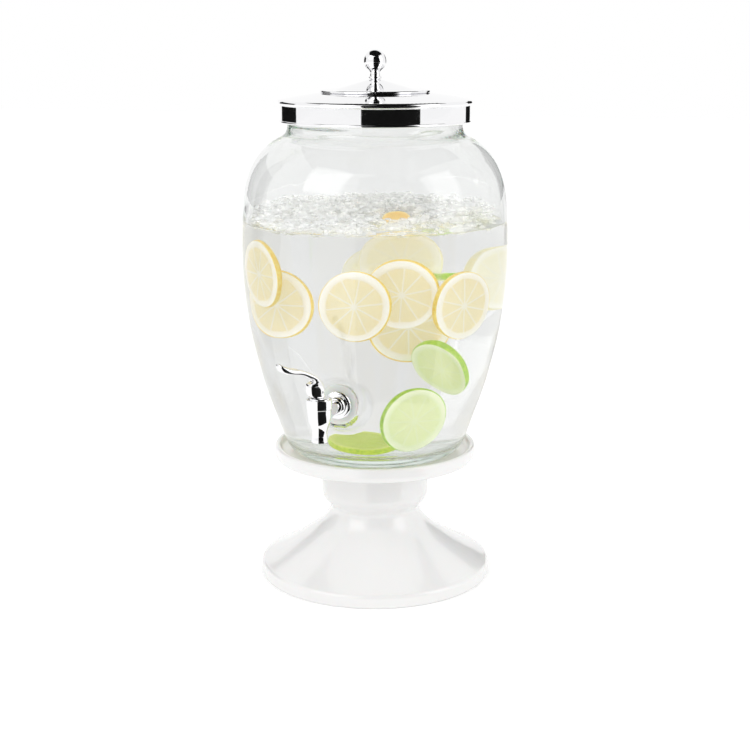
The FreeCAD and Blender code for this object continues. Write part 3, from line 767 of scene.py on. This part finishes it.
def upright_card(name, degrees, distance, half_angle, top, material, low=0.0):
    """Upright card that faces the object."""
    width = 2 * distance * math.tan(math.radians(half_angle))
    place = around(degrees, distance, (top + low) / 2)
    return flat_card(name, width, top - low, place, (0, 0, place.z), material)


def ground_card(name, degrees, half_angle, near, far, material):
    """Piece of a ring that lies just above the floor."""
    verts, faces = [], []
    steps = 16
    for i in range(steps + 1):
        angle = degrees + half_angle * (2 * i / steps - 1)
        verts += [around(angle, near, 1 * MM), around(angle, far, 1 * MM)]
    for i in range(steps):
        faces.append((2 * i, 2 * i + 1, 2 * i + 3, 2 * i + 2))
    item = mesh_object(name, verts, faces)
    paint(item, material)
    return item


def area_light(name, place, size, power):
    data = bpy.data.lights.new(name, "AREA")
    data.shape = "RECTANGLE"
    data.size, data.size_y = size
    data.energy = power
    aim(new_object(name, data), place, (0, 0, 0.25))


def studio():
    floor_z = -0.2 * MM                      # a hair below the foot, so that the two don't mix
    flat_card("floor", 14.0, 14.0, (0, 0, floor_z), (0, 0, -1), plain("floor", 0.96, lift=0.07))
    world = bpy.data.worlds.new("studio")
    bpy.context.scene.world = world
    world.use_nodes = True
    background = world.node_tree.nodes["Background"]
    background.inputs["Color"].default_value = (1, 1, 1, 1)
    background.inputs["Strength"].default_value = 1.0
    area_light("key_light", around(-50, 1.6, 1.5), (1.2, 1.2), 7.0)
    area_light("fill_light", around(65, 1.7, 1.0), (1.0, 1.3), 4.5)
    black = plain("flag", 0.004)
    # the dark parts of the studio, reflected by the metal and the glazes
    reflected = [
        upright_card("flag_front", 19, 1.75, 35, 2.4, black),
        ground_card("flag_front_ground", 19, 35, 0.27, 1.75, black),
        flat_card("flag_above", 3.4, 3.4, (0, 0, 2.4), (0, 0, 0), black),
        upright_card("flag_left", -127, 1.5, 21, 0.9, black, low=0.27),
        upright_card("flag_right", 149, 1.6, 11.5, 0.9, black, low=0.27),
    ]
    # the pale grey sweep behind, and its darker sides, seen only through the jar
    backdrop = glow("backdrop", 0.90)
    seen_through = [
        ground_card("sweep_ground", 180, 100, 0.13, 5.0, backdrop),
        upright_card("sweep_wall", 180, 5.0, 60, 4.0, backdrop),
        upright_card("sweep_left", 134, 1.6, 17, 1.3, glow("backdrop_side", 0.74)),
        upright_card("sweep_left_near", 155.5, 1.7, 4.5, 1.3, glow("backdrop_half", 0.82)),
        upright_card("sweep_right", -121, 1.5, 7, 1.3, glow("backdrop_edge", 0.2)),
    ]
    for card in reflected + seen_through:
        card.visible_camera = False
        card.visible_diffuse = False
        card.visible_shadow = False
        card.visible_transmission = card in seen_through
        card.visible_glossy = card in reflected


def camera():
    data = bpy.data.cameras.new("camera")
    data.lens = CAMERA_LENS
    data.sensor_width = SENSOR
    data.clip_start = 10 * MM
    item = new_object("camera", data)
    item.location = TOWARDS * CAMERA_DISTANCE + Vector((0, 0, CAMERA_HEIGHT))
    item.rotation_euler = (math.pi / 2 - CAMERA_TILT, 0, CAMERA_AZIMUTH)
    bpy.context.scene.camera = item


def light_paths():
    scene = bpy.context.scene
    scene.view_settings.view_transform = "Standard"
    scene.cycles.max_bounces = 128
    scene.cycles.transmission_bounces = 128
    scene.cycles.glossy_bounces = 64
    scene.cycles.diffuse_bounces = 8
    scene.cycles.transparent_max_bounces = 16
    scene.cycles.blur_glossy = 0.0


camera()
FINISHES = finishes()
dress_nodes()
jar()
lever()
valve_spring()
drink()
ice()
fruit()
studio()
light_paths()
